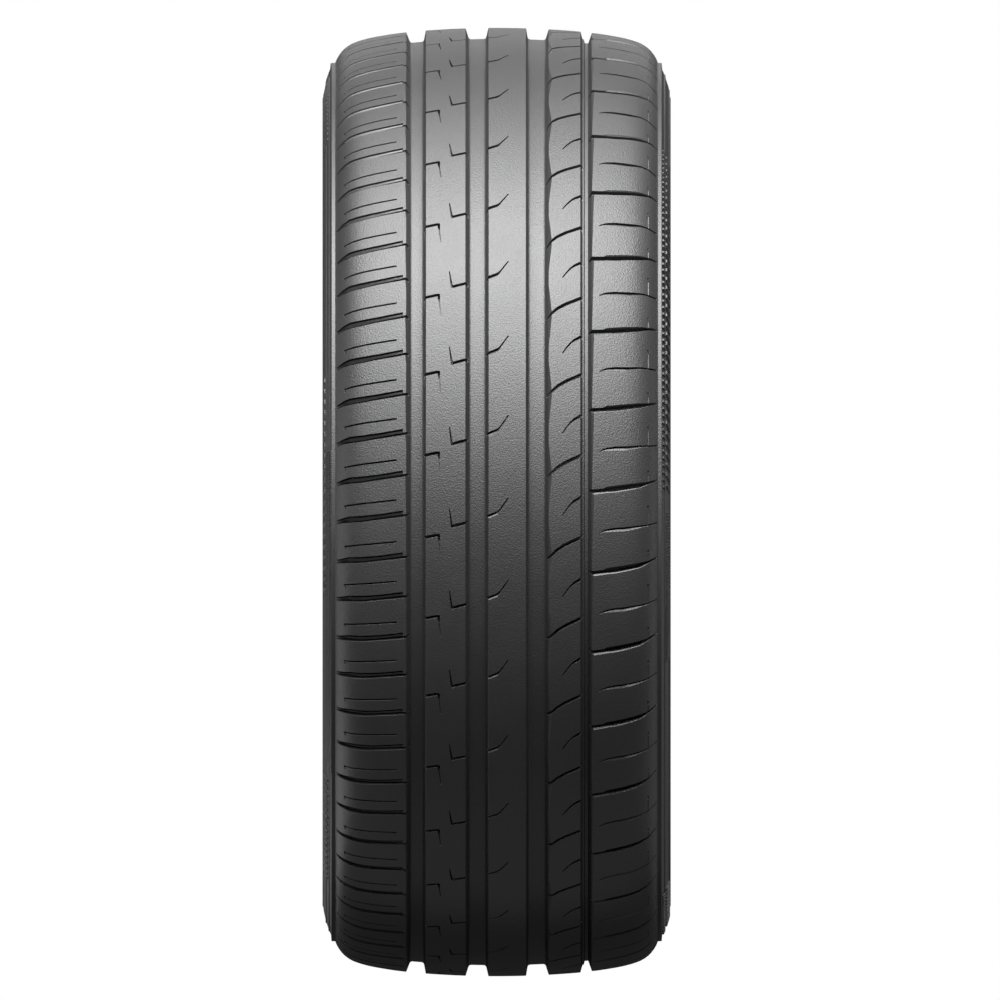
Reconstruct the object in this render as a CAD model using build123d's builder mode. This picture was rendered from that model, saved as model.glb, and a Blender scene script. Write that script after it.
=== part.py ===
# A radial car tyre of size 235/45 R17, moulded and vulcanised as one piece of rubber.
# Millimetres. The axle lies along Y and up is Z, with the origin at the wheel's centre.
# "Across" is the distance along the axle from mid width, and "height" the distance from the axle.
# Round stretches of the section are short chords, so that the ring stays light when it is meshed.
import os
from math import asin, cos, degrees, radians, sin, sqrt, tan

from build123d import *

os.makedirs("parts", exist_ok=True)

# Overall sizes
tread_radius = 321.65
section_width = 236.1
rim_radius = 218.3
rim_width = 203.2

# The tread's curve across: crown, flank and shoulder are arcs that run on from each other
crown_half = 55.0
crown_bend = 640.0
flank_half = 92.0
flank_bend = 280.0
shoulder_bend = 24.0
shoulder_lean = 71.0
shoulder_chords = 2

# The ledge under the shoulder, and the sidewall, widest at a share of the way from guard to ledge
ledge_width = 2.4
ledge_wall = 4.8
belly_share = 0.415
upper_bend = 63.0
upper_chords = 2
lower_bend = 55.0

# The rib that guards the rim, and the bead that is seated in the rim
guard_rise = 9.2
guard_inset = 0.7
guard_slope = 5.9
flange_height = 17.5
flange_reach = 7.0
bead_width = 14.0
heel_chamfer = 4.5

# The wall round the air chamber
crown_wall = 18.4
crown_inner_half = 90.0
side_wall = 7.8

# Four grooves run round the tread, listed along the axle
groove_depth = 7.45
groove_wall_lean = 14.0
groove_places = (-54.8, -13.25, 27.65, 61.0)
groove_widths = (13.3, 15.25, 15.2, 6.8)

# Deep slots cross the right shoulder and open into the last groove
slot_count = 36
slot_start = 1.23
slot_width = 3.4
slot_depth = 6.0
slot_skew = 7.7
slot_fall = 6.0

half_width = section_width / 2
bead_half = rim_width / 2
crown_slope = crown_half / crown_bend
flank_slope = crown_slope + (flank_half - crown_half) / flank_bend
flank_lean = degrees(asin(flank_slope))
section_plane = Plane(origin=(0, 0, 0), x_dir=(0, 1, 0), z_dir=(0, 0, -1))


def arc_drop(bend, slope, next_slope):
    """How far an arc comes down between two slopes, each the sine of its lean."""
    return bend * (sqrt(1 - slope**2) - sqrt(1 - next_slope**2))


def tread_height(across):
    """Height of the tread's surface on the crown or the flank."""
    on_crown = min(abs(across), crown_half)
    on_flank = abs(across) - on_crown
    crown_drop = arc_drop(crown_bend, 0, on_crown / crown_bend)
    flank_drop = arc_drop(flank_bend, crown_slope, crown_slope + on_flank / flank_bend)
    return tread_radius - crown_drop - flank_drop


def arc_points(across, height, bend, start, end, chords):
    """Points along an arc round a centre, between two angles above level."""
    angles = [start + (end - start) * step / chords for step in range(chords + 1)]
    return [(across + bend * cos(radians(a)), height + bend * sin(radians(a))) for a in angles]


def groove_points(place, width):
    """Corners of one groove that runs round the tread."""
    inset = groove_depth * tan(radians(groove_wall_lean))
    left = place - width / 2
    right = place + width / 2
    return [
        (left, tread_height(left)),
        (left + inset, tread_height(left) - groove_depth),
        (right - inset, tread_height(right) - groove_depth),
        (right, tread_height(right)),
    ]


# The outline of one side, from the flank over the sidewall and bead and up inside
shoulder = arc_points(
    flank_half - shoulder_bend * flank_slope,
    tread_height(flank_half) - shoulder_bend * cos(radians(flank_lean)),
    shoulder_bend,
    90 - flank_lean,
    90 - shoulder_lean,
    shoulder_chords,
)
tread_half, ledge_height = shoulder[-1]
ledge = [(tread_half + ledge_width, ledge_height)]
guard_height = rim_radius + flange_height + guard_rise
belly_height = guard_height + belly_share * (ledge_height - guard_height)
upper_lean = degrees(asin((ledge_height - ledge_wall - belly_height) / upper_bend))
lower_lean = degrees(asin((belly_height - guard_height - guard_slope) / lower_bend))
upper_side = arc_points(half_width - upper_bend, belly_height, upper_bend, upper_lean, 0, upper_chords)
lower_side = arc_points(half_width - lower_bend, belly_height, lower_bend, 0, -lower_lean, 1)
guard = [(half_width - guard_inset, guard_height)]
bead = [
    (bead_half + flange_reach, rim_radius + flange_height),
    (bead_half, rim_radius + heel_chamfer),
    (bead_half - heel_chamfer, rim_radius),
    (bead_half - bead_width, rim_radius),
]
inside = [
    (half_width - side_wall, belly_height),
    (crown_inner_half, tread_radius - crown_wall),
]
right_side = shoulder + ledge + upper_side + lower_side[1:] + guard + bead + inside
left_side = [(-across, height) for across, height in reversed(right_side)]
grooves = [
    point
    for place, width in zip(groove_places, groove_widths)
    for point in groove_points(place, width)
]

# The slots' floor slants outwards along the axle and falls towards the shoulder
outwards = Vector(0, 1, 0).rotate(Axis.X, slot_skew)
upright = Vector(1, 0, 0)
slot_floor = Plane(
    origin=(tread_height(groove_places[-1]) - slot_depth, groove_places[-1], 0),
    x_dir=outwards * cos(radians(slot_fall)) - upright * sin(radians(slot_fall)),
    z_dir=outwards * sin(radians(slot_fall)) + upright * cos(radians(slot_fall)),
)
slot_angles = [slot_start + 360 / slot_count * step for step in range(slot_count)]
slot_turns = [Location((0, 0, 0), (0, -angle, 0)) for angle in slot_angles]

# The room that one slot takes out of the tread
with BuildPart() as slot:
    with BuildSketch(slot_floor):
        Rectangle(tread_half, slot_width, align=(Align.MIN, Align.CENTER))
    extrude(amount=slot_depth + groove_depth, dir=(1, 0, 0))

with BuildPart() as tyre:
    with BuildSketch(section_plane):
        with BuildLine():
            Polyline(*left_side, *grooves, *right_side, close=True)
        make_face()
    revolve(axis=Axis.Y)
    with Locations(*slot_turns):
        add(slot.part, mode=Mode.SUBTRACT)

tyre.part.label = "tyre"
export_step(tyre.part, "parts/tyre.step")
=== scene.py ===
# %% [markdown]
# # A car tyre, dressed for its picture
#
# A road tyre is one piece of black rubber, cured in a steel mould that leaves every groove, slot and
# fine cut of the tread in a single pressing. The frame has the plain ring. Here the same ring gets the
# mould's fine work: one pitch of the pattern is laid out flat, cut to depth, bent round the section
# and repeated round the axle.

from math import asin, cos, hypot, pi, radians, sin, tan

import bmesh
import bpy
import numpy as np
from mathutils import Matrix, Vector
from mathutils.geometry import delaunay_2d_cdt


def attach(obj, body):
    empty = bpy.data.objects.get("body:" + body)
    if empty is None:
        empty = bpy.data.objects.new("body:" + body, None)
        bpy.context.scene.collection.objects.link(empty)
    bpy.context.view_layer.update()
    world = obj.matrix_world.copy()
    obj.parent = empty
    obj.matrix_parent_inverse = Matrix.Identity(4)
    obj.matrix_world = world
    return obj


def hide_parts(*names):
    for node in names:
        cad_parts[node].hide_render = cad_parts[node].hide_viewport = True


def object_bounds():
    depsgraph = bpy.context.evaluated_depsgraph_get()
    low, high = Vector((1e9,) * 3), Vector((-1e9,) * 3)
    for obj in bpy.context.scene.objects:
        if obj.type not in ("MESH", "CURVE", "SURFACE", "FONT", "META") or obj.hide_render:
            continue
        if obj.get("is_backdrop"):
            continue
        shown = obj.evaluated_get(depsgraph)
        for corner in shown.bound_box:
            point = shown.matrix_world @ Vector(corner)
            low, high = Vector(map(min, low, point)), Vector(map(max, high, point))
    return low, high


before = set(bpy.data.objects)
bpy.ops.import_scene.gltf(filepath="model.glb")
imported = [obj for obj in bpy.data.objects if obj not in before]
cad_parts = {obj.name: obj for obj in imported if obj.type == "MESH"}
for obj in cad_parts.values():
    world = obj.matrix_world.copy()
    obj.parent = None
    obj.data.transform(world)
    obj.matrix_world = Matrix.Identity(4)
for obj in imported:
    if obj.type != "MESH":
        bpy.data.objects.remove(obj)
low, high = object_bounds()
PER_METRE = 1000
print("frame nodes:", sorted(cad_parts))
print("box in mm:", [round(v * PER_METRE, 1) for v in (*low, *high)])

# %% [markdown]
# ## The section
#
# Across the tread the surface is four arcs that run on from each other, from the nearly flat crown to
# the tight shoulder. It could be read off the frame's mesh, but arcs give the exact height and lean
# anywhere. A place is told by the distance along the curve from mid width, so that cuts keep their true
# width where the shoulder turns down. All lengths are in millimetres until the mesh is made.

# %% Arcs of the tread, each a bend and the place across where it ends
TOP_GAP = 0.02
TOP = high.z * PER_METRE - TOP_GAP
BENDS = ((640.0, 55.0), (280.0, 83.5), (80.0, 95.5), (22.97, 109.46))
BEYOND_TREAD = 200.0
ARCS = []
slope = arc_start = 0.0
for bend, arc_end in BENDS:
    slope += (arc_end - arc_start) / bend
    arc_start = arc_end
    ARCS.append((bend, asin(slope)))


def tread_curve(distance):
    """Place across, height above the axle and lean of the surface, at a distance along its curve."""
    side = -1 if distance < 0 else 1
    left, across, height, lean = abs(distance), 0.0, TOP, 0.0
    for bend, end in ARCS:
        turn = min(left / bend, end - lean)
        across += bend * (sin(lean + turn) - sin(lean))
        height -= bend * (cos(lean) - cos(lean + turn))
        lean += turn
        left -= bend * turn
    return side * across, height, side * lean


def along(across):
    """Distance along the curve at which the surface reaches a place across, or ends."""
    side = -1 if across < 0 else 1
    left, lean, distance = abs(across), 0.0, 0.0
    for bend, end in ARCS:
        reach = bend * (sin(end) - sin(lean))
        if left <= reach:
            return side * (distance + bend * (asin(sin(lean) + left / bend) - lean))
        left -= reach
        distance += bend * (end - lean)
        lean = end
    return side * distance


HALF = along(BEYOND_TREAD)
edge_across, edge_height, _ = tread_curve(HALF)
print("half curve:", round(HALF, 2), "mm; shoulder ends at", round(edge_across, 2), round(edge_height, 2))

# %% [markdown]
# ## Cuts in the tread
#
# The pattern repeats 36 times. In the flat plan of one pitch, the first number of a point is its place
# across and the second its place round the tread. A cut is a net of such points with depths. It could
# be carved with booleans, but thin blades by the hundred make those slow and ragged. With nets every
# edge is known beforehand, and where cuts meet the deeper one counts, so slots open into grooves by
# themselves.

# %% The pitch: its count, length and start, the turn at which round places begin, and its steps
PITCHES = 36
PITCH = 55.85
START = 26.3
FIRST = radians(1.45)
STEPS = 5
LINES = [START + PITCH * step / STEPS for step in range(STEPS + 1)]
print("one pitch:", PITCH, "mm, from", START, "in", STEPS, "steps")

# %% Tools that lay out cuts
ROUND_STEPS = 3
cuts = []


def rounded(points, radii):
    """Corners of an outline with rounds in them."""
    out = [points[0]]
    for before, corner, after, radius in zip(points, points[1:], points[2:], radii):
        to_before, to_after = Vector(before) - Vector(corner), Vector(after) - Vector(corner)
        back = radius / tan(to_before.angle(to_after) / 2)
        start = Vector(corner) + to_before.normalized() * back
        end = Vector(corner) + to_after.normalized() * back
        for step in range(ROUND_STEPS + 1):
            share = step / ROUND_STEPS
            bent = 2 * share * (1 - share) * Vector(corner)
            spot = (1 - share) ** 2 * start + bent + share**2 * end
            out.append((spot.x, spot.y))
    out.append(points[-1])
    return out


def net(rows):
    """Keep a cut, given as rows of (along, round, depth) points."""
    cuts.append(np.array(rows, dtype=float))


def at(keys, place):
    """A value that runs straight between (place, value) keys."""
    return float(np.interp(place, *zip(*keys)))


def again(first, shift):
    """Repeat the cuts laid out since a place in the list, further round the tread."""
    for cut in cuts[first:]:
        cuts.append(cut + np.array((0, shift, 0)))


# %% A cut along a path
LIP, WALL = 0.06, 0.3
BANK_SLOPE = 0.75
BANK_MOST, LIP_MOST = 0.6, 0.5
MITRE_LEAST = 0.75
CAP = 0.3


def heading(a, b):
    """The way from one point of the plan to another, as a step one millimetre long."""
    size = hypot(b[0] - a[0], b[1] - a[1])
    return ((b[0] - a[0]) / size, (b[1] - a[1]) / size)


def stroke(path, depth, lip=LIP, steep=WALL, caps=(True, True)):
    """Cut along points of (across, round, width), with walls that take a share of the half width.

    A point may add its share of the depth, the width of a bank along the path's right side and the
    bank's slope. The caps say which ends are closed.
    """
    spots = [(along(point[0]), point[1]) for point in path]
    ways = [heading(a, b) for a, b in zip(spots, spots[1:])]
    rows = []
    for i, (point, here) in enumerate(zip(path, spots)):
        before, after = ways[max(i - 1, 0)], ways[min(i, len(ways) - 1)]
        way = heading((0, 0), (before[0] + after[0], before[1] + after[1]))
        mitre = 1 / max(MITRE_LEAST, before[0] * way[0] + before[1] * way[1])
        width, *more = point[2:]
        half = width / 2
        floor = depth * (more[0] if more else 1.0)
        bank = more[1] if len(more) > 1 else lip
        bank_slope = more[2] if len(more) > 2 else BANK_SLOPE if len(more) > 1 else 1.0
        wall = steep * half
        bank_depth, lip_depth = min(bank_slope * bank, BANK_MOST * floor), min(lip, LIP_MOST * floor)
        offsets = (-half - bank, -half, wall - half, half - wall, half, half + lip)
        depths = (0, bank_depth, floor, floor, lip_depth, 0)
        row = []
        for offset, deep in zip(offsets, depths):
            row.append((here[0] - way[1] * offset * mitre, here[1] + way[0] * offset * mitre, deep))
        if i == 0 and caps[0]:
            rows.append([(spot[0] - way[0] * CAP, spot[1] - way[1] * CAP, 0) for spot in row])
        rows.append(row)
        if i == len(path) - 1 and caps[1]:
            rows.append([(spot[0] + way[0] * CAP, spot[1] + way[1] * CAP, 0) for spot in row])
    net(rows)


# %% [markdown]
# ### Four grooves
#
# They drain water round the tread. Their walls lean and run into the floor with a small round. On some
# lips a bevel grows and shrinks along each block, so that the groove's edge wavers as in the mould. The
# narrow groove has a small step at the foot of its left wall. Plain grooves could be part of a revolved
# section, but a lip that wavers needs rows of points along the pitch, so all four are nets.

# %% Sizes of the grooves
GROOVE = 7.45
FOOT_ROUND, NARROW_ROUND = 2.0, 0.5
LEFT_BEVEL_SLOPE = 1.4
PLAIN_BEVEL = 0.3
OVERLAP = 2

# Bevels that waver, as (round, across) keys, and the step, as (across, depth) points
SAW = [(-24.2, -61.4), (-17.6, -62.0), (-16.6, -61.4), (9.7, -62.0), (10.7, -61.4), (31.65, -61.4)]
DIP = [(-12.0, 35.45), (8.5, 37.4), (11.5, 37.5), (33.0, 35.35)]
SLOPE = [(1.2, 64.75), (53.5, 66.1)]
STEP = [(58.75, 5.0), (59.6, 5.0), (60.55, GROOVE)]

# Left wall's top and foot, right wall's foot and top, left bevel, right bevel and step
GROOVES = (
    (-61.1, -59.2, -50.04, -48.14, SAW, None, None),
    (-20.88, -18.92, -7.39, -5.63, None, None, None),
    (20.07, 21.49, 33.36, 35.2, None, DIP, None),
    (57.0, 60.55, 62.9, 64.5, None, SLOPE, STEP),
)
print("grooves at", [round((groove[0] + groove[3]) / 2, 1) for groove in GROOVES], "mm across")


# %% Grooves
def wavering(keys, place):
    """A lip's place across, which repeats with each pitch."""
    places, values = zip(*keys)
    return float(np.interp(place, places, values, period=PITCH))


def in_pitch(keys):
    """The places of a lip's keys that fall within the pitch."""
    places = {round(place + turn * PITCH, 3) for place, _ in keys or [] for turn in (-1, 0, 1, 2)}
    return {place for place in places if START < place < START + PITCH}


def foot(top, corner, middle, radius):
    """Points of the round in which a groove's wall runs into its floor."""
    return rounded([top, (corner, GROOVE), (middle, GROOVE)], (radius,))[1:-1]


for left, left_foot, right_foot, right, left_keys, right_keys, step in GROOVES:
    places = sorted({round(line, 3) for line in LINES} | in_pitch(left_keys) | in_pitch(right_keys))
    middle = (left_foot + right_foot) / 2
    radius = NARROW_ROUND if step else FOOT_ROUND
    rows = []
    for place in [START - OVERLAP, *places, START + PITCH + OVERLAP]:
        left_lip = wavering(left_keys, place) if left_keys else left - PLAIN_BEVEL
        right_lip = wavering(right_keys, place) if right_keys else right + PLAIN_BEVEL
        left_top, right_top = (left, LEFT_BEVEL_SLOPE * (left - left_lip)), (right, right_lip - right)
        left_wall = step or foot(left_top, left_foot, middle, radius)
        right_wall = reversed(foot(right_top, right_foot, middle, radius))
        points = [(left_lip, 0), left_top, *left_wall, *right_wall, right_top, (right_lip, 0)]
        rows.append([(along(across), place, depth) for across, depth in points])
    net(rows)
print("grooves:", len(cuts))

# %% [markdown]
# ### Slots and sipes
#
# Sipes are thin cuts made by steel blades in the mould. Slots are wider. The left shoulder has slots of
# two deep cuts each, with a sunk ramp between them that faces down, and a fine sipe between one slot and
# the next. The ribs have short hooked cuts. The right shoulder has deep slots and banked sipes by turns.
# A dark line painted on could stand for a sipe, but real depth gives it a lit edge and a true shadow.

# %% Left slots, whose edges and sizes are (across, value) keys
LEFT_LOWER = [(-108.4, 3.1), (-104, 4.2), (-99.7, 4.55), (-90.8, 5.3), (-79.7, 7.0), (-68.6, 8.4)]
LEFT_LOWER += [(-60, 9.7)]
LEFT_UPPER = [(-108.4, 6.0), (-104, 7.8), (-99.7, 9.1), (-90.8, 9.7), (-79.7, 10.9), (-68.6, 12.6)]
LEFT_UPPER += [(-63.6, 13.4)]
FADE = [(-108.6, 0.0), (-107.4, 0.5), (-104.0, 1.0)]
LOWER_WIDTH = [(-90, 1.3), (-80, 1.4), (-68, 1.75)]
UPPER_WIDTH = 1.25
LEFT_CUT, LEFT_WALL = 5.0, 0.1
LOWER_LIP, UPPER_LIP = 0.06, 0.08
RAMP_FOOT, RAMP_TOP = [(-104, 2.1), (-95, 1.8), (-80, 1.15), (-68, 0.85)], 0.48
RAMP_END = -63.7
FULL_WIDTH = 3.7
LEFT_STATIONS = (-108.7, -108.3, -106.5, -104, -99.7, -95, -90.8, -85.2, -79.7, -74.1, -68.6)
LEFT_STATIONS += (-63.9, -63.5, -60.0)
first_left = len(cuts)
rows = []
for across in LEFT_STATIONS:
    lower, upper, fade = at(LEFT_LOWER, across), at(LEFT_UPPER, across), at(FADE, across)
    room = min(1.0, (upper - lower) / FULL_WIDTH)
    slot = fade if across < RAMP_END else 0.0
    low_rim, high_rim = lower + at(LOWER_WIDTH, across) * room, upper - UPPER_WIDTH * room
    profile = [
        (lower - LOWER_LIP, 0),
        (lower, LOWER_LIP * fade),
        (lower + LEFT_WALL, LEFT_CUT * fade),
        (low_rim - LEFT_WALL, LEFT_CUT * fade),
        (low_rim, at(RAMP_FOOT, across) * slot),
        (high_rim, RAMP_TOP * slot),
        (high_rim + LEFT_WALL, LEFT_CUT * slot),
        (upper - LEFT_WALL, LEFT_CUT * slot),
        (upper, UPPER_LIP * slot),
        (upper + UPPER_LIP, 0),
    ]
    rows.append([(along(across), place, depth) for place, depth in profile])
net(rows)
print("left slot:", len(rows), "rows of", len(rows[0]), "points")

# %% Left sipe, and a second slot and sipe in the same pitch
SIPE_WIDTH, SIPE_DEPTH, SIPE_LIP = 1.2, 5.0, 0.05
LEFT_SPACING = 27.3
LEFT_SIPE = [(-102.6, 14.5), (-103.2, 16.3), (-98, 17.1), (-90.8, 18.05), (-81.9, 19.0), (-73, 20.0)]
LEFT_SIPE += [(-68, 20.55)]
stroke([(across, place, SIPE_WIDTH) for across, place in LEFT_SIPE], SIPE_DEPTH, lip=SIPE_LIP)
again(first_left, -LEFT_SPACING)
print("cuts of the left shoulder:", len(cuts) - first_left)

# %% Ribs: each path is a list of stroke points, with its depth and which ends are closed
BAR_DEPTH, TAIL_DEPTH = 6.0, 5.0
LEFT_HOOK_BAR = [(-49.6, 23.45, 2.0), (-48.4, 23.7, 2.0), (-40.8, 25.3, 2.0), (-39.2, 25.4, 2.0)]
LEFT_HOOK_TAIL = [
    (-39.2, 25.9, 1.7),
    (-39.1, 22.8, 1.5),
    (-38.9, 21.2, 0.8, 0.4),
    (-38.3, 15.5, 0.65, 0.25),
    (-37.7, 11.0, 0.5, 0.12),
]
RIGHT_HOOK_BAR = [(-19.6, 34.1, 1.95), (-21, 33.75, 1.95), (-29.6, 31.5, 1.95), (-30.7, 31.2, 1.95)]
RIGHT_HOOK_TAIL = [(-30.2, 30.9, 1.4), (-30.6, 33.4, 1.3), (-31.1, 36.4, 1.1), (-31.95, 43.0, 0.6, 0.5)]
MIDDLE_HOOK = [
    (-7.0, -18.0, 1.6, 1, 0.8),
    (-5.8, -17.5, 1.6, 1, 0.8),
    (0.0, -15.1, 1.5, 1, 0.7),
    (1.4, -14.2, 1.2, 1, 0.4),
    (2.8, -12.5, 0.95, 1, 0.1),
    (7.9, -5.2, 0.75, 0.6, 0.1),
]
LONG_SWEEP = [
    (34.2, 8.5, 1.4),
    (35.6, 10.0, 1.5),
    (37.55, 11.95, 1.8),
    (41.45, 15.55, 2.2),
    (47.0, 18.9, 2.3),
    (56.45, 23.3, 2.4, 0.82),
    (59.2, 24.6, 2.4, 0.82),
]
SHORT_SWEEP = [
    (44.8, -16.8, 0.7, 0.6),
    (47.4, -13.0, 0.95),
    (50.3, -9.45, 1.2),
    (52.55, -7.5, 1.6),
    (56.45, -5.3, 2.1, 0.82),
    (59.2, -4.0, 2.1, 0.82),
]
RIB_CUTS = (
    (LEFT_HOOK_BAR, BAR_DEPTH, (False, True)),
    (LEFT_HOOK_TAIL, TAIL_DEPTH, (True, True)),
    (RIGHT_HOOK_BAR, BAR_DEPTH, (False, True)),
    (RIGHT_HOOK_TAIL, TAIL_DEPTH, (True, True)),
    (MIDDLE_HOOK, BAR_DEPTH, (False, True)),
    (LONG_SWEEP, BAR_DEPTH, (False, False)),
    (SHORT_SWEEP, BAR_DEPTH, (True, False)),
)
for path, depth, caps in RIB_CUTS:
    stroke(path, depth, caps=caps)
print("cuts of the ribs:", len(RIB_CUTS))

# %% Right slot, with a bank below and, past its neck, a chamfer above
RIGHT_LOWER = [(62, -1.95), (64.2, -1.95), (74.8, -1.1), (80.3, -0.85), (88.7, 0.55), (97, 1.95)]
RIGHT_LOWER += [(102.6, 4.2), (109, 6.9)]
RIGHT_UPPER = [(62, 0.3), (72.3, 1.05), (74.8, 1.6), (85.9, 3.1), (97, 4.85), (102, 5.75), (109, 8.3)]
RIGHT_EDGE = [(62, 0.4), (72.3, 1.15), (74.8, 2.5), (85.9, 3.9), (97, 5.45), (102, 6.15), (109, 8.5)]
RIGHT_BANK = [(64, 1.2), (70, 1.1), (75, 0.75), (90, 0.6), (98, 0.35), (106, 0.1)]
RIGHT_FLOOR = [(62, 5.5), (72, 5.5), (76, 7.0), (92, 7.0), (104, 4.5), (108.6, 0.8), (109, 0.0)]
RIGHT_WALL, RIGHT_WALL_SHARE = 0.3, 0.15
CHAMFER_SLOPE = 1.0
RIGHT_STATIONS = (62.0, 64.4, 68, 72.3, 74.8, 80.3, 85.9, 88.7, 93, 97, 102.3, 105.5, 108.8, 109.1)
rows = []
for across in RIGHT_STATIONS:
    lower, upper, edge = at(RIGHT_LOWER, across), at(RIGHT_UPPER, across), at(RIGHT_EDGE, across)
    floor, bank = at(RIGHT_FLOOR, across), at(RIGHT_BANK, across)
    wall = min(RIGHT_WALL, RIGHT_WALL_SHARE * (upper - lower))
    profile = [
        (lower - bank, 0),
        (lower, min(BANK_SLOPE * bank, floor)),
        (lower + wall, floor),
        (upper - wall, floor),
        (upper, min(CHAMFER_SLOPE * (edge - upper), floor)),
        (edge, 0),
    ]
    rows.append([(along(across), place, depth) for place, depth in profile])
net(rows)
print("right slot:", len(rows), "rows of", len(rows[0]), "points")

# %% Right sipe, with a bank that widens and narrows again
RIGHT_SIPE = [
    (69.8, 26.4, 0.6, 0.5, 0.1),
    (72.4, 27.75, 0.95, 1, 0.3, 0.5),
    (74.8, 28.55, 1.25, 1, 0.8, 0.45),
    (80.3, 29.35, 1.45, 1, 1.2, 0.45),
    (86.0, 29.65, 1.45, 1, 1.4, 0.45),
    (89.5, 29.95, 1.4, 1, 1.2, 0.75),
    (95.0, 30.6, 1.25, 1, 0.8, 0.75),
    (98.0, 30.95, 1.1, 1, 0.45, 0.75),
    (102.6, 31.4, 1.0, 0.9, 0.4, 0.75),
    (108.6, 32.7, 0.9, 0.45, 0.2, 0.75),
]
stroke(RIGHT_SIPE, SIPE_DEPTH)
print("right sipe:", len(RIGHT_SIPE), "points")

# %% Gauge marks: a line and a dot on the right shoulder, above each cut
GAUGE = 102.8
GAUGE_LINES = ((31.7, 41.9), (6.3, 10.6))
LINE_WIDTH, LINE_DEPTH, LINE_WALL = 0.8, 0.5, 0.8
DOT_START, DOT_END = 2.0, 3.2
DOT_WIDTH, DOT_DEPTH = 1.2, 1.5
for start, end in GAUGE_LINES:
    stroke([(GAUGE, start, LINE_WIDTH), (GAUGE, end, LINE_WIDTH)], LINE_DEPTH, steep=LINE_WALL)
    stroke([(GAUGE, end + DOT_START, DOT_WIDTH), (GAUGE, end + DOT_END, DOT_WIDTH)], DOT_DEPTH)
print("cuts in one pitch:", len(cuts), "points in them:", sum(cut.shape[0] * cut.shape[1] for cut in cuts))

# %% [markdown]
# ## One pitch as a net of triangles
#
# The cuts' lines and a light grid are joined by a constrained Delaunay triangulation, which keeps every
# line as an edge. An even grid fine enough for the sipes would need many times as many faces. Each
# corner then takes the depth of the deepest cut over it. Cuts that cross the end of the pitch are laid
# in again one pitch away, so that both ends match.

# %% Cuts that reach into the pitch
BESIDE = 1


def reaches_pitch(cut):
    """Whether a cut comes into the pitch or close to it."""
    places = cut[..., 1]
    return places.max() > START - BESIDE and places.min() < START + PITCH + BESIDE


groove_nets, other_cuts = cuts[: len(GROOVES)], cuts[len(GROOVES) :]
shifted = [cut + np.array((0, turn * PITCH, 0)) for cut in other_cuts for turn in (-1, 0, 1)]
laid = groove_nets + [cut for cut in shifted if reaches_pitch(cut)]
print("cuts laid in the pitch:", len(laid))

# %% Depth at a point
NEAR = 1e-3
LEAST_AREA = 1e-9


def depths_at(points):
    """Depth of the deepest cut over each point of the plan."""
    deep = np.zeros(len(points))
    for cut in laid:
        least, most = cut[..., :2].min((0, 1)) - NEAR, cut[..., :2].max((0, 1)) + NEAR
        chosen = np.nonzero(np.all((points >= least) & (points <= most), axis=1))[0]
        if not len(chosen):
            continue
        corners = (cut[:-1, :-1], cut[:-1, 1:], cut[1:, 1:], cut[1:, :-1])
        # Each cell of the net is two triangles, and v and w say where a point lies in one
        for i, j, k in ((0, 1, 2), (0, 2, 3)):
            a, b, c = (corners[n].reshape(-1, 3) for n in (i, j, k))
            ab, ac = (b - a)[:, :2], (c - a)[:, :2]
            area = ab[:, 0] * ac[:, 1] - ab[:, 1] * ac[:, 0]
            sound = np.abs(area) > LEAST_AREA
            a, b, c, ab, ac, area = a[sound], b[sound], c[sound], ab[sound], ac[sound], area[sound]
            ap = points[chosen][:, None, :] - a[None, :, :2]
            v = (ap[..., 0] * ac[:, 1] - ap[..., 1] * ac[:, 0]) / area
            w = (ab[:, 0] * ap[..., 1] - ab[:, 1] * ap[..., 0]) / area
            over = (v > -NEAR) & (w > -NEAR) & (v + w < 1 + NEAR)
            depth = a[:, 2] + v * (b - a)[:, 2] + w * (c - a)[:, 2]
            deep[chosen] = np.maximum(deep[chosen], np.where(over, depth, 0).max(1))
    return deep


# %% Corners and lines of the plan
RIB_COLUMNS = [0.5, 7, 14, -41.5, -34.5, -27.5, 41, 46.5, 52]
FLANK_COLUMNS = [69, 75, 81, 87]
SHOULDER_STEP, SHOULDER_COLUMNS = 3.06, 9
ON_RIM = 1e-6
side_columns = FLANK_COLUMNS + [HALF - SHOULDER_STEP * step for step in range(SHOULDER_COLUMNS)]
columns = RIB_COLUMNS + [side * column for column in side_columns for side in (-1, 1)]
grid = np.array([(column, line) for column in columns for line in LINES])
on_rim = np.abs(np.abs(grid[:, 0]) - HALF) < ON_RIM
grid = grid[(depths_at(grid) == 0) | on_rim]
verts, edges = [Vector(spot) for spot in grid], []
for cut in laid:
    base, (rows, row, _) = len(verts), cut.shape
    verts += [Vector(spot) for spot in cut[..., :2].reshape(-1, 2)]
    edges += [(base + i * row + j, base + (i + 1) * row + j) for i in range(rows - 1) for j in range(row)]
    edges += [(base + i * row + j, base + i * row + j + 1) for i in (0, rows - 1) for j in range(row - 1)]
for line in (LINES[0], LINES[-1]):
    edges.append((len(verts), len(verts) + 1))
    verts += [Vector((-HALF, line)), Vector((HALF, line))]
print("plan:", len(verts), "corners,", len(edges), "lines")

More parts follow.
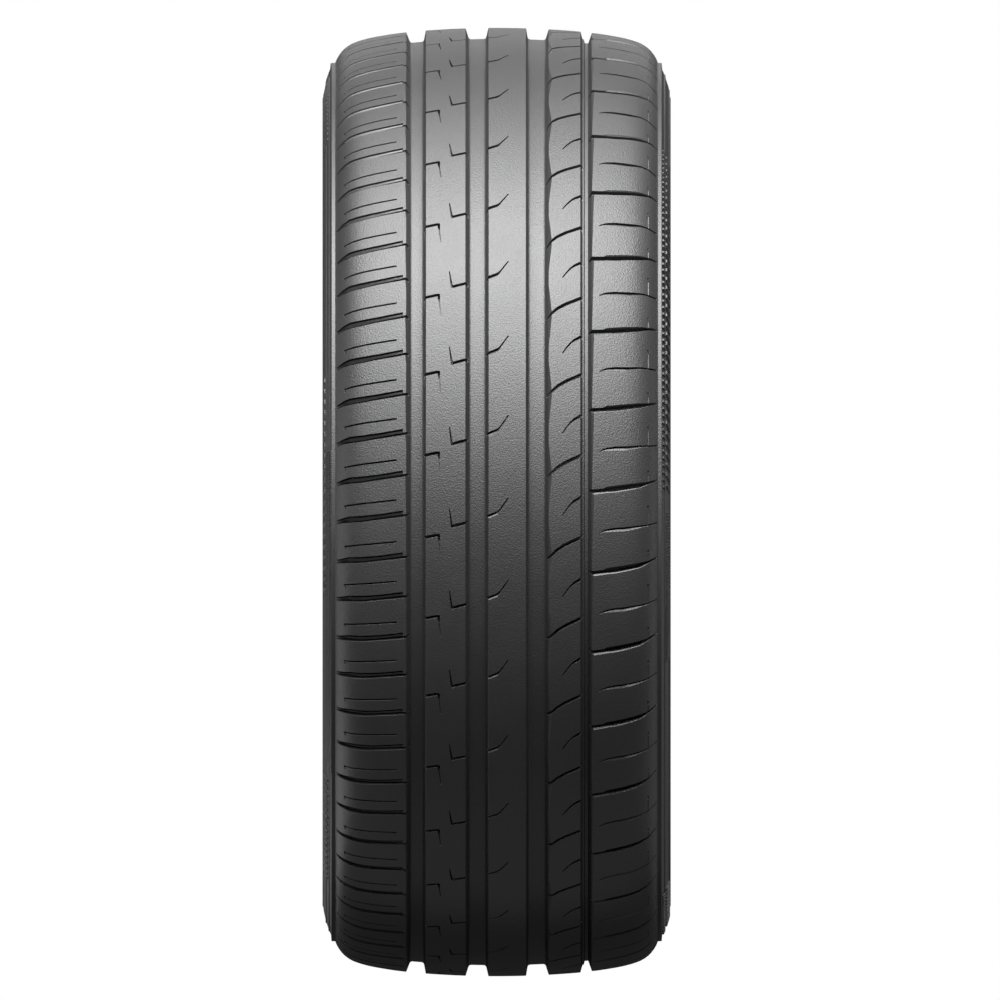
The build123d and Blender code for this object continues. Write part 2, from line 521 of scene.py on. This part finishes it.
# %% Triangles of one pitch
plan, _, faces, *_ = delaunay_2d_cdt(verts, edges, [], 0, NEAR, False)
plan = np.array([(spot.x, spot.y) for spot in plan])
faces = np.array([face for face in faces if len(face) == 3])
middle = plan[faces].mean(1)
kept = (middle[:, 1] > START) & (middle[:, 1] < START + PITCH) & (np.abs(middle[:, 0]) < HALF)
used, faces = np.unique(faces[kept], return_inverse=True)
plan, faces = plan[used], faces.reshape(-1, 3)
one, two, three = (plan[faces[:, k]] for k in range(3))
turned = (two - one)[:, 0] * (three - one)[:, 1] - (two - one)[:, 1] * (three - one)[:, 0]
faces[turned < 0] = faces[turned < 0][:, ::-1]
deep = depths_at(plan)
print("one pitch:", len(plan), "corners,", len(faces), "triangles")
print("deepest:", round(float(deep.max()), 2), "mm")

# %% [markdown]
# ## The rest of the ring
#
# Below the shoulder's ledge come the bulged sidewall with fine ribs, the rib that guards the rim, the
# bead with its round heel, and the smooth liner inside. They are the same all the way round. They could
# be spun as a ring of their own, but swept with the pitch they share its lines, so that one weld closes
# the whole ring.

# %% Sizes of the sidewall, ribs as (height, rise), and (across, height) corners of what lies below
WIDEST, BELLY = high.y * PER_METRE, 267.0
UPPER_BEND, LOWER_BEND = 63.0, 55.0
LEDGE_WIDTH, LEDGE_BEVEL, LEDGE_DROP = 2.5, 0.2, 0.25
SIDE_HEIGHTS = (293.2, 288, 283, 277.5, 272, 267, 264, 252.5)
CREST_REACH, FOOT_REACH = 0.35, 0.75
LOW_RIBS = ((273.6, 0.35), (261.0, 0.35), (258.6, 0.35), (256.2, 0.35))
RIGHT_RIBS = ((289.4, 0.5), (279.0, 0.5), *LOW_RIBS)
LEFT_RIBS = ((290.6, 0.5), (285.0, 0.5), *LOW_RIBS)
GUARD = [(115.7, 251.0), (115.9, 248.2), (117.35, 245.0), (108.6, 235.8)]
BEAD = [(101.6, 222.8), (97.1, 218.3), (87.6, 218.3)]
LINER = [(110.25, 267.0), (90.0, 303.25), (0.0, 303.25)]
FOOT_ROUNDS = (1.2, 1.6, 3, 2, 2, 1.5, 8, 8)
print("widest at", round(WIDEST, 2), "mm, at height", BELLY)


# %% Outline from one shoulder round the inside to the other
def sidewall(height):
    """The smooth sidewall's place across at a height."""
    if height > SIDE_HEIGHTS[0]:
        ledge_end = edge_across + LEDGE_WIDTH
        share = (edge_height - height) / (edge_height - SIDE_HEIGHTS[0])
        return ledge_end + share * (sidewall(SIDE_HEIGHTS[0]) - edge_across - LEDGE_WIDTH)
    bend = UPPER_BEND if height > BELLY else LOWER_BEND
    return WIDEST - bend + (bend**2 - (height - BELLY) ** 2) ** 0.5


def half_outline(ribs):
    """One half of the outline, with ribs of (height, rise) round its sidewall."""
    crests = {rib + reach: rise for rib, rise in ribs for reach in (CREST_REACH, -CREST_REACH)}
    feet = [rib + reach for rib, _ in ribs for reach in (FOOT_REACH, -FOOT_REACH)]
    heights = sorted([*SIDE_HEIGHTS, *crests, *feet], reverse=True)
    side = [(min(sidewall(height) + crests.get(height, 0), WIDEST), height) for height in heights]
    ledge = [(0.0, 0.0), (LEDGE_WIDTH - LEDGE_BEVEL, 0.0), (LEDGE_WIDTH, LEDGE_DROP)]
    shelf = [(edge_across + out, edge_height - down) for out, down in ledge]
    return shelf + side + rounded(GUARD + BEAD + LINER, FOOT_ROUNDS)


mirrored = [(-across, height) for across, height in reversed(half_outline(LEFT_RIBS)[:-1])]
outline = half_outline(RIGHT_RIBS) + mirrored
print("outline:", len(outline), "points")

# %% [markdown]
# ## Bend one pitch
#
# Each corner of the plan goes to its place on the section, turned round the axle by its place along the
# tread, with depth square to the surface. A bend modifier could turn the plan one way, but not follow
# the shoulders too. The surface's lean is kept as an attribute, averaged a little, because shading needs
# the true slope later.

# %% Corners of one pitch in space
TURN = 2 * pi / PITCHES / PITCH
SOFTEN = (-6.0, -3.0, 0.0, 3.0, 6.0)


def in_space(across, height, place):
    """A point in metres, from its place across, height above the axle and place round the tread."""
    angle = FIRST + place * TURN
    return (height * cos(angle) / PER_METRE, across / PER_METRE, height * sin(angle) / PER_METRE)


points, leans = [], []
for (distance, place), depth in zip(plan, deep):
    across, height, lean = tread_curve(distance)
    points.append(in_space(across - depth * sin(lean), height - depth * cos(lean), place))
    leans.append(sum(tread_curve(distance + reach)[2] for reach in SOFTEN) / len(SOFTEN))
base, row = len(points), len(LINES)
for across, height in outline:
    points += [in_space(across, height, line) for line in LINES]
    leans += [0.0] * row
print("pitch:", len(points), "corners")

# %% Faces of one pitch, each with its kind
PLAIN_FACE, TOP_FACE, CUT_FACE, GROOVE_FACE = range(4)
FLUSH = 1e-4
polygons = [tuple(int(i) for i in face) for face in faces]
face_deep, face_along = deep[faces], plan[faces][..., 0]
kinds = np.where(face_deep.max(1) < FLUSH, TOP_FACE, CUT_FACE)
for left, *_, right in (groove[:4] for groove in GROOVES):
    past_left = (face_along > along(left) - NEAR).all(1)
    before_right = (face_along < along(right) + NEAR).all(1)
    kinds[past_left & before_right] = GROOVE_FACE
kinds = [int(kind) for kind in kinds]
for i in range(len(outline) - 1):
    for j in range(STEPS):
        corner = base + i * row + j
        polygons.append((corner, corner + row, corner + row + 1, corner + 1))
        kinds.append(PLAIN_FACE)
pitch_mesh = bpy.data.meshes.new("pitch")
pitch_mesh.from_pydata(points, [], polygons)
pitch_mesh.attributes.new("lean", "FLOAT", "POINT").data.foreach_set("value", leans)
pitch_mesh.attributes.new("kind", "INT", "FACE").data.foreach_set("value", kinds)
pitch = bpy.data.objects.new("pitch", pitch_mesh)
print("pitch:", len(polygons), "faces")

# %% [markdown]
# ## Marks on the sidewall
#
# A mould decorates the sidewall with raised bars and with fine serrations that hide the joins of the
# cords below. They could be bump in the material, but on a wall seen almost edge on only true relief
# shows. Each is a small closed prism that follows the bulge and is sunk a little into it.

# %% One raised mark
SUNK = 0.3
FOOT_HALF, CREST_HALF = 0.5, 0.28
LEFT, RIGHT = -1, 1


def mark(name, side, bottom, top, width, rise, slant, stations):
    """A raised bar across a stretch of the sidewall's height."""
    profile = ((-FOOT_HALF, -SUNK), (-CREST_HALF, rise), (CREST_HALF, rise), (FOOT_HALF, -SUNK))
    size = len(profile)
    sections, quads = [], []
    for step in range(stations):
        share = step / (stations - 1)
        height = bottom + (top - bottom) * share
        shift = slant * (share - 0.5)
        across = sidewall(height)
        for offset, lift in profile:
            angle = (offset * width + shift) / height
            out = side * min(across + lift, WIDEST) / PER_METRE
            sections.append((height * cos(angle) / PER_METRE, out, height * sin(angle) / PER_METRE))
    for step in range(stations - 1):
        for k in range(size):
            a, b = step * size + k, step * size + (k + 1) % size
            quads.append((a, b, b + size, a + size))
    last = size * (stations - 1)
    quads += [(3, 2, 1, 0), (last, last + 1, last + 2, last + 3)]
    mesh = bpy.data.meshes.new(name)
    mesh.from_pydata(sections, [], quads)
    shape = bmesh.new()
    shape.from_mesh(mesh)
    bmesh.ops.recalc_face_normals(shape, faces=shape.faces)
    shape.to_mesh(mesh)
    shape.free()
    return bpy.data.objects.new(name, mesh)


# %% All marks: side, lowest and highest height, width, rise, slant and stations along it
MARKS = (
    ("left ridge", LEFT, 286.2, 297.6, 0.9, 0.6, 0.0, 4),
    ("left bar", LEFT, 275.4, 283.6, 4.2, 1.1, 4.0, 3),
    ("left dash", LEFT, 280.6, 289.6, 3.4, 1.1, 2.6, 3),
    ("right bar", RIGHT, 280.4, 287.8, 3.0, 1.1, 4.0, 3),
    ("right dash", RIGHT, 290.6, 293.2, 2.0, 1.1, 1.2, 2),
    ("right ridge", RIGHT, 281.0, 288.4, 1.0, 0.9, 0.0, 3),
)
marks = [mark(*sizes) for sizes in MARKS]
print("marks:", [thing.name for thing in marks])

# %% [markdown]
# ## Set everything round the axle
#
# One Geometry Nodes tree does all that repeats. It sets copies of a piece round the axle in equal rows
# and joins them to what is there. Array modifiers could do it too, with a turned empty for each, but
# here the numbers of a row are plain inputs. The pitches are one row of 36 that closes on itself and is
# welded. The marks come in three rows each.

# %% Rubber, as a material to be filled in below
rubber = bpy.data.materials.new("rubber")
rubber.use_nodes = True
print("material:", rubber.name)

# %% The tree and its inputs
INPUTS = (
    ("Piece", "NodeSocketObject"),
    ("Rows", "NodeSocketInt"),
    ("In a row", "NodeSocketInt"),
    ("First", "NodeSocketFloat"),
    ("Step", "NodeSocketFloat"),
    ("Weld", "NodeSocketFloat"),
)
tree = bpy.data.node_groups.new("round the axle", "GeometryNodeTree")
tree.interface.new_socket("Geometry", in_out="INPUT", socket_type="NodeSocketGeometry")
sockets = {}
for label, kind in INPUTS:
    sockets[label] = tree.interface.new_socket(label, in_out="INPUT", socket_type=kind).identifier
tree.interface.new_socket("Geometry", in_out="OUTPUT", socket_type="NodeSocketGeometry")
join = tree.links.new
print("tree:", tree.name, "with inputs", list(sockets))


# %% The tree's nodes
def sum_node(operation, a, b):
    """The result of a sum on two sockets or numbers."""
    node = tree.nodes.new("ShaderNodeMath")
    node.operation = operation
    for socket, value in zip(node.inputs, (a, b)):
        if isinstance(value, (int, float)):
            socket.default_value = value
        else:
            join(value, socket)
    return node.outputs[0]


source = tree.nodes.new("NodeGroupInput").outputs
result = tree.nodes.new("NodeGroupOutput")
piece = tree.nodes.new("GeometryNodeObjectInfo")
spots = tree.nodes.new("GeometryNodePoints")
index = tree.nodes.new("GeometryNodeInputIndex").outputs["Index"]
turn = tree.nodes.new("ShaderNodeCombineXYZ")
copies = tree.nodes.new("GeometryNodeInstanceOnPoints")
real = tree.nodes.new("GeometryNodeRealizeInstances")
weld = tree.nodes.new("GeometryNodeMergeByDistance")
both = tree.nodes.new("GeometryNodeJoinGeometry")
smooth = tree.nodes.new("GeometryNodeSetShadeSmooth")
paint = tree.nodes.new("GeometryNodeSetMaterial")
paint.inputs["Material"].default_value = rubber
row_number = sum_node("FLOOR", sum_node("DIVIDE", index, source["In a row"]), 0)
row_turn = sum_node("DIVIDE", sum_node("MULTIPLY", row_number, 2 * pi), source["Rows"])
within = sum_node("MULTIPLY", sum_node("MODULO", index, source["In a row"]), source["Step"])
total = sum_node("ADD", sum_node("ADD", row_turn, within), source["First"])
join(sum_node("MULTIPLY", total, -1), turn.inputs["Y"])
join(source["Piece"], piece.inputs["Object"])
join(sum_node("MULTIPLY", source["Rows"], source["In a row"]), spots.inputs["Count"])
join(spots.outputs["Points"], copies.inputs["Points"])
join(piece.outputs["Geometry"], copies.inputs["Instance"])
join(turn.outputs["Vector"], copies.inputs["Rotation"])
join(copies.outputs["Instances"], real.inputs["Geometry"])
join(real.outputs["Geometry"], weld.inputs["Geometry"])
join(source["Weld"], weld.inputs["Distance"])
join(weld.outputs["Geometry"], both.inputs["Geometry"])
join(source["Geometry"], both.inputs["Geometry"])
join(both.outputs["Geometry"], smooth.inputs["Geometry"])
join(smooth.outputs["Geometry"], paint.inputs["Geometry"])
join(paint.outputs["Geometry"], result.inputs["Geometry"])
print("tree:", tree.name, "with", len(tree.nodes), "nodes")

# %% All the copies
PITCH_WELD, NO_WELD = 1e-5, 1e-9
tyre = bpy.data.objects.new("tyre_rubber", bpy.data.meshes.new("tyre_rubber"))
bpy.context.scene.collection.objects.link(tyre)


def set_round(thing, rows, in_row, first, step, weld_distance):
    """Join copies of a thing, set round the axle, to the tyre's mesh."""
    modifier = tyre.modifiers.new("round the axle", "NODES")
    modifier.node_group = tree
    values = (thing, rows, in_row, radians(first), radians(step), weld_distance)
    for (label, _), value in zip(INPUTS, values):
        modifier[sockets[label]] = value
    bpy.context.view_layer.update()
    mesh = bpy.data.meshes.new_from_object(tyre.evaluated_get(bpy.context.evaluated_depsgraph_get()))
    tyre.modifiers.remove(modifier)
    tyre.data = mesh
    triangles = sum(len(polygon.vertices) - 2 for polygon in mesh.polygons)
    print(thing.name, "set round:", rows * in_row, "copies; the ring has", triangles, "triangles")


# Copies in a row, the angle of the first and the step between them, in the order of the marks
MARK_ROWS = 3
MARK_COPIES = (
    (150, -38, 0.3),
    (20, -12, 1.5),
    (16, -62, 1.4),
    (38, 2, 1.4),
    (56, 2, 0.95),
    (50, -22, 0.42),
)
set_round(pitch, 1, PITCHES, 0, 360 / PITCHES, PITCH_WELD)
for thing, (in_row, first, step) in zip(marks, MARK_COPIES):
    set_round(thing, MARK_ROWS, in_row, first, step, NO_WELD)
baked = tyre.data

# %% [markdown]
# ## Clean shading
#
# The top of the tread is a smooth surface, however the triangles lie in it. Shading by angle alone would
# leave streaks there, so its corners get the true normals of the section. Cuts keep every edge crisp,
# down to shallow banks, while the rounds of the grooves' feet and of the sidewall stay soft.

# %% Sharp edges
CUT_SHARP, PLAIN_SHARP = radians(12), radians(32)


def read(collection, name, width, kind=float):
    """All values of a property, as an array."""
    values = np.empty(len(collection) * width, dtype=kind)
    collection.foreach_get(name, values)
    return values.reshape(-1, width) if width > 1 else values


baked.set_sharp_from_angle(angle=PLAIN_SHARP)
face_kind = read(baked.attributes["kind"].data, "value", 1, int)
face_size = read(baked.polygons, "loop_total", 1, int)
face_normal = read(baked.polygons, "normal", 3)
corner_edge = read(baked.loops, "edge_index", 1, int)
corner_face = np.repeat(np.arange(len(face_size)), face_size)
uses = np.bincount(corner_edge, minlength=len(baked.edges))
print("edges not shared by just two faces:", int((uses != 2).sum()))
pairs = corner_face[np.argsort(corner_edge, kind="stable")].reshape(-1, 2)
level = (face_normal[pairs[:, 0]] * face_normal[pairs[:, 1]]).sum(1)
in_cut = (face_kind[pairs] != PLAIN_FACE).all(1) & (face_kind[pairs] == CUT_FACE).any(1)
sharp = read(baked.attributes["sharp_edge"].data, "value", 1, bool)
sharp |= in_cut & (level < cos(CUT_SHARP))
baked.attributes["sharp_edge"].data.foreach_set("value", sharp)
baked.update()
print("sharp edges:", int(sharp.sum()))

# %% True normals
corner = read(baked.loops, "vertex_index", 1, int)
place = read(baked.vertices, "co", 3)
lean = read(baked.attributes["lean"].data, "value", 1)
normals = read(baked.corner_normals, "vector", 3)
on_top = np.repeat(face_kind, face_size) == TOP_FACE
spot = corner[on_top]
round_axle = np.arctan2(place[spot, 2], place[spot, 0])
flat = np.cos(lean[spot])
normals[on_top] = np.stack([flat * np.cos(round_axle), np.sin(lean[spot]), flat * np.sin(round_axle)], 1)
baked.normals_split_custom_set(normals)
print("corners with true normals:", int(on_top.sum()))

# %% [markdown]
# ## Rubber
#
# Cured tread rubber is nearly black, with a satin sheen and the fine grain of the mould's skin. The
# grain is too fine to be modelled, so it is a small bump. Colour and sheen change a little from place to
# place, where oils have come to the surface, and one broad noise drives both.

# %% Rubber's look
GRAIN_SCALE, GRAIN_DETAIL = 1000, 2
GRAIN_STRENGTH, GRAIN_HEIGHT = 0.5, 0.0006
BLOOM_SCALE, BLOOM_DETAIL = 45, 4
SPECULAR_LEVEL = 1.0
SMOOTH, ROUGH = 0.41, 0.49
DARK, PALE = (0.027, 0.027, 0.028, 1), (0.033, 0.033, 0.034, 1)
nodes, links = rubber.node_tree.nodes, rubber.node_tree.links
shader = nodes["Principled BSDF"]
shader.inputs["Specular IOR Level"].default_value = SPECULAR_LEVEL
where = nodes.new("ShaderNodeTexCoord")


def noise(scale, detail):
    """The socket of a noise over the rubber."""
    node = nodes.new("ShaderNodeTexNoise")
    node.inputs["Scale"].default_value = scale
    node.inputs["Detail"].default_value = detail
    links.new(where.outputs["Object"], node.inputs["Vector"])
    return node.outputs["Fac"]


grain = nodes.new("ShaderNodeBump")
grain.inputs["Strength"].default_value = GRAIN_STRENGTH
grain.inputs["Distance"].default_value = GRAIN_HEIGHT
links.new(noise(GRAIN_SCALE, GRAIN_DETAIL), grain.inputs["Height"])
links.new(grain.outputs["Normal"], shader.inputs["Normal"])
bloom = noise(BLOOM_SCALE, BLOOM_DETAIL)
sheen = nodes.new("ShaderNodeMapRange")
sheen.inputs["To Min"].default_value = SMOOTH
sheen.inputs["To Max"].default_value = ROUGH
links.new(bloom, sheen.inputs["Value"])
links.new(sheen.outputs["Result"], shader.inputs["Roughness"])
black = nodes.new("ShaderNodeValToRGB")
black.color_ramp.elements[0].color = DARK
black.color_ramp.elements[1].color = PALE
links.new(bloom, black.inputs["Fac"])
links.new(black.outputs["Color"], shader.inputs["Base Color"])

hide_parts("tyre")
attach(tyre, "root")
print("rubber on", tyre.name)

# %% [markdown]
# ## Stage, light and camera
#
# The light is that of a product studio for black things: a broad softbox above the camera, a weaker one
# under it, and low panels beside the tyre that draw its edges. The floor and backdrop are pale to the
# camera alone, because a white room would wash out the rubber's dark side. Near the tyre the floor is
# paper, which takes its shadow, and further out it is plain white, so that no horizon shows.

# %% Floor
scene = bpy.context.scene
FLOOR_HALF = 6.0
PAPER, PAPER_ROUGHNESS = (0.85, 0.85, 0.85, 1), 0.9
PAPER_END, WHITE_START = 0.7, 1.6
BOUNCE = 0.052


def pale_to_camera(tree, dim, bright, output):
    """Show the bright shader to the camera and the dim one to the light that bounces about."""
    path = tree.nodes.new("ShaderNodeLightPath")
    mix = tree.nodes.new("ShaderNodeMixShader")
    tree.links.new(path.outputs["Is Camera Ray"], mix.inputs["Fac"])
    tree.links.new(dim, mix.inputs[1])
    tree.links.new(bright, mix.inputs[2])
    tree.links.new(mix.outputs["Shader"], tree.nodes[output].inputs["Surface"])


floor_mesh = bpy.data.meshes.new("floor")
corners = [(x * FLOOR_HALF, y * FLOOR_HALF, low.z) for x, y in ((-1, -1), (1, -1), (1, 1), (-1, 1))]
floor_mesh.from_pydata(corners, [], [(0, 1, 2, 3)])
floor = bpy.data.objects.new("floor", floor_mesh)
scene.collection.objects.link(floor)
pale = bpy.data.materials.new("pale floor")
pale.use_nodes = True
nodes, links = pale.node_tree.nodes, pale.node_tree.links
paper = nodes["Principled BSDF"]
paper.inputs["Base Color"].default_value = PAPER
paper.inputs["Roughness"].default_value = PAPER_ROUGHNESS
glow = nodes.new("ShaderNodeEmission")
glow.inputs["Strength"].default_value = BOUNCE
horizon = nodes.new("ShaderNodeEmission")
floor_place = nodes.new("ShaderNodeTexCoord")
distance = nodes.new("ShaderNodeVectorMath")
distance.operation = "LENGTH"
far = nodes.new("ShaderNodeMapRange")
far.inputs["From Min"].default_value = PAPER_END
far.inputs["From Max"].default_value = WHITE_START
sweep = nodes.new("ShaderNodeMixShader")
links.new(floor_place.outputs["Object"], distance.inputs[0])
links.new(distance.outputs["Value"], far.inputs["Value"])
links.new(far.outputs["Result"], sweep.inputs["Fac"])
links.new(paper.outputs["BSDF"], sweep.inputs[1])
links.new(horizon.outputs["Emission"], sweep.inputs[2])
pale_to_camera(pale.node_tree, glow.outputs["Emission"], sweep.outputs["Shader"], "Material Output")
floor_mesh.materials.append(pale)
floor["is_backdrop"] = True
print("floor at", round(low.z, 4), "m")

# %% Backdrop
WHITE = (1, 1, 1, 1)
AMBIENT, BACKDROP = 0.1, 1
world = bpy.data.worlds.new("studio")
scene.world = world
world.use_nodes = True
room = world.node_tree.nodes["Background"]
room.inputs["Color"].default_value = WHITE
room.inputs["Strength"].default_value = AMBIENT
white = world.node_tree.nodes.new("ShaderNodeBackground")
white.inputs["Color"].default_value = WHITE
white.inputs["Strength"].default_value = BACKDROP
pale_to_camera(world.node_tree, room.outputs["Background"], white.outputs["Background"], "World Output")
print("backdrop:", world.name)

# %% Lamps, by compass angle from the camera's side, height angle, distance, size and brightness
LAMPS = (
    ("key", 0, 60, 2.6, (2.4, 2.15), 9.7),
    ("fill", 0, 26, 2.6, (2.4, 0.9), 4.1),
    ("top", 0, 105, 2.6, (2.4, 0.9), 1.8),
    ("back", 180, 30, 2.6, (2.4, 0.6), 1.5),
    ("left front", -70, -2, 1.0, (0.28, 0.6), 1.45),
    ("left side", -105, -2, 1.0, (0.28, 0.6), 0.9),
    ("left above", -45, 50, 2.6, (0.9, 1.2), 1.85),
    ("right side", 90, -2, 1.0, (0.28, 0.6), 0.77),
    ("right rear", 120, -2, 1.0, (0.28, 0.6), 0.45),
    ("right above", 90, 45, 2.0, (1.2, 0.9), 0.6),
)

# Panels that lie on the floor, by place, size and brightness
STRIPS = (
    ("left strip", (-0.05, -0.585), (0.6, 0.73), 0.85),
    ("right strip", (-0.05, 0.585), (0.6, 0.73), 0.2),
    ("front strip", (0.22, 0.0), (0.16, 0.5), 0.1),
)
STRIP_GAP = 0.0025


def lamp(name, size, brightness, spot, aim):
    """A flat panel of light at a spot, which shines against the way that its back points."""
    panel = bpy.data.lights.new(name, "AREA")
    panel.shape = "RECTANGLE"
    panel.size, panel.size_y = size
    panel.energy = pi * brightness * size[0] * size[1]
    stand = bpy.data.objects.new(name, panel)
    stand.location = spot
    stand.rotation_mode = "QUATERNION"
    stand.rotation_quaternion = aim.to_track_quat("Z", "Y")
    stand.visible_camera = False
    scene.collection.objects.link(stand)


for name, compass, height, distance, size, brightness in LAMPS:
    level_part, turn_angle = cos(radians(height)), radians(compass)
    away = Vector((level_part * cos(turn_angle), level_part * sin(turn_angle), sin(radians(height))))
    lamp(name, size, brightness, away * distance, away)
for name, (x, y), size, brightness in STRIPS:
    lamp(name, size, brightness, (x, y, low.z + STRIP_GAP), Vector((0, 0, -1)))
print("lamps:", [row[0] for row in LAMPS + STRIPS])

# %% Camera, square on to the tread and without perspective
VIEW_HEIGHT = 0.678
CAMERA_PLACE = (2.5, 0.0023, 0.0014)
camera = bpy.data.cameras.new("camera")
camera.type = "ORTHO"
camera.ortho_scale = VIEW_HEIGHT
camera_object = bpy.data.objects.new("camera", camera)
camera_object.location = CAMERA_PLACE
camera_object.rotation_euler = (pi / 2, 0, pi / 2)
scene.collection.objects.link(camera_object)
scene.camera = camera_object
scene.view_settings.view_transform = "Standard"
print("camera shows", VIEW_HEIGHT, "m")

# %% Sizes and the end
low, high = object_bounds()
print("dressed box in mm:", [round(v * PER_METRE, 1) for v in (*low, *high)])
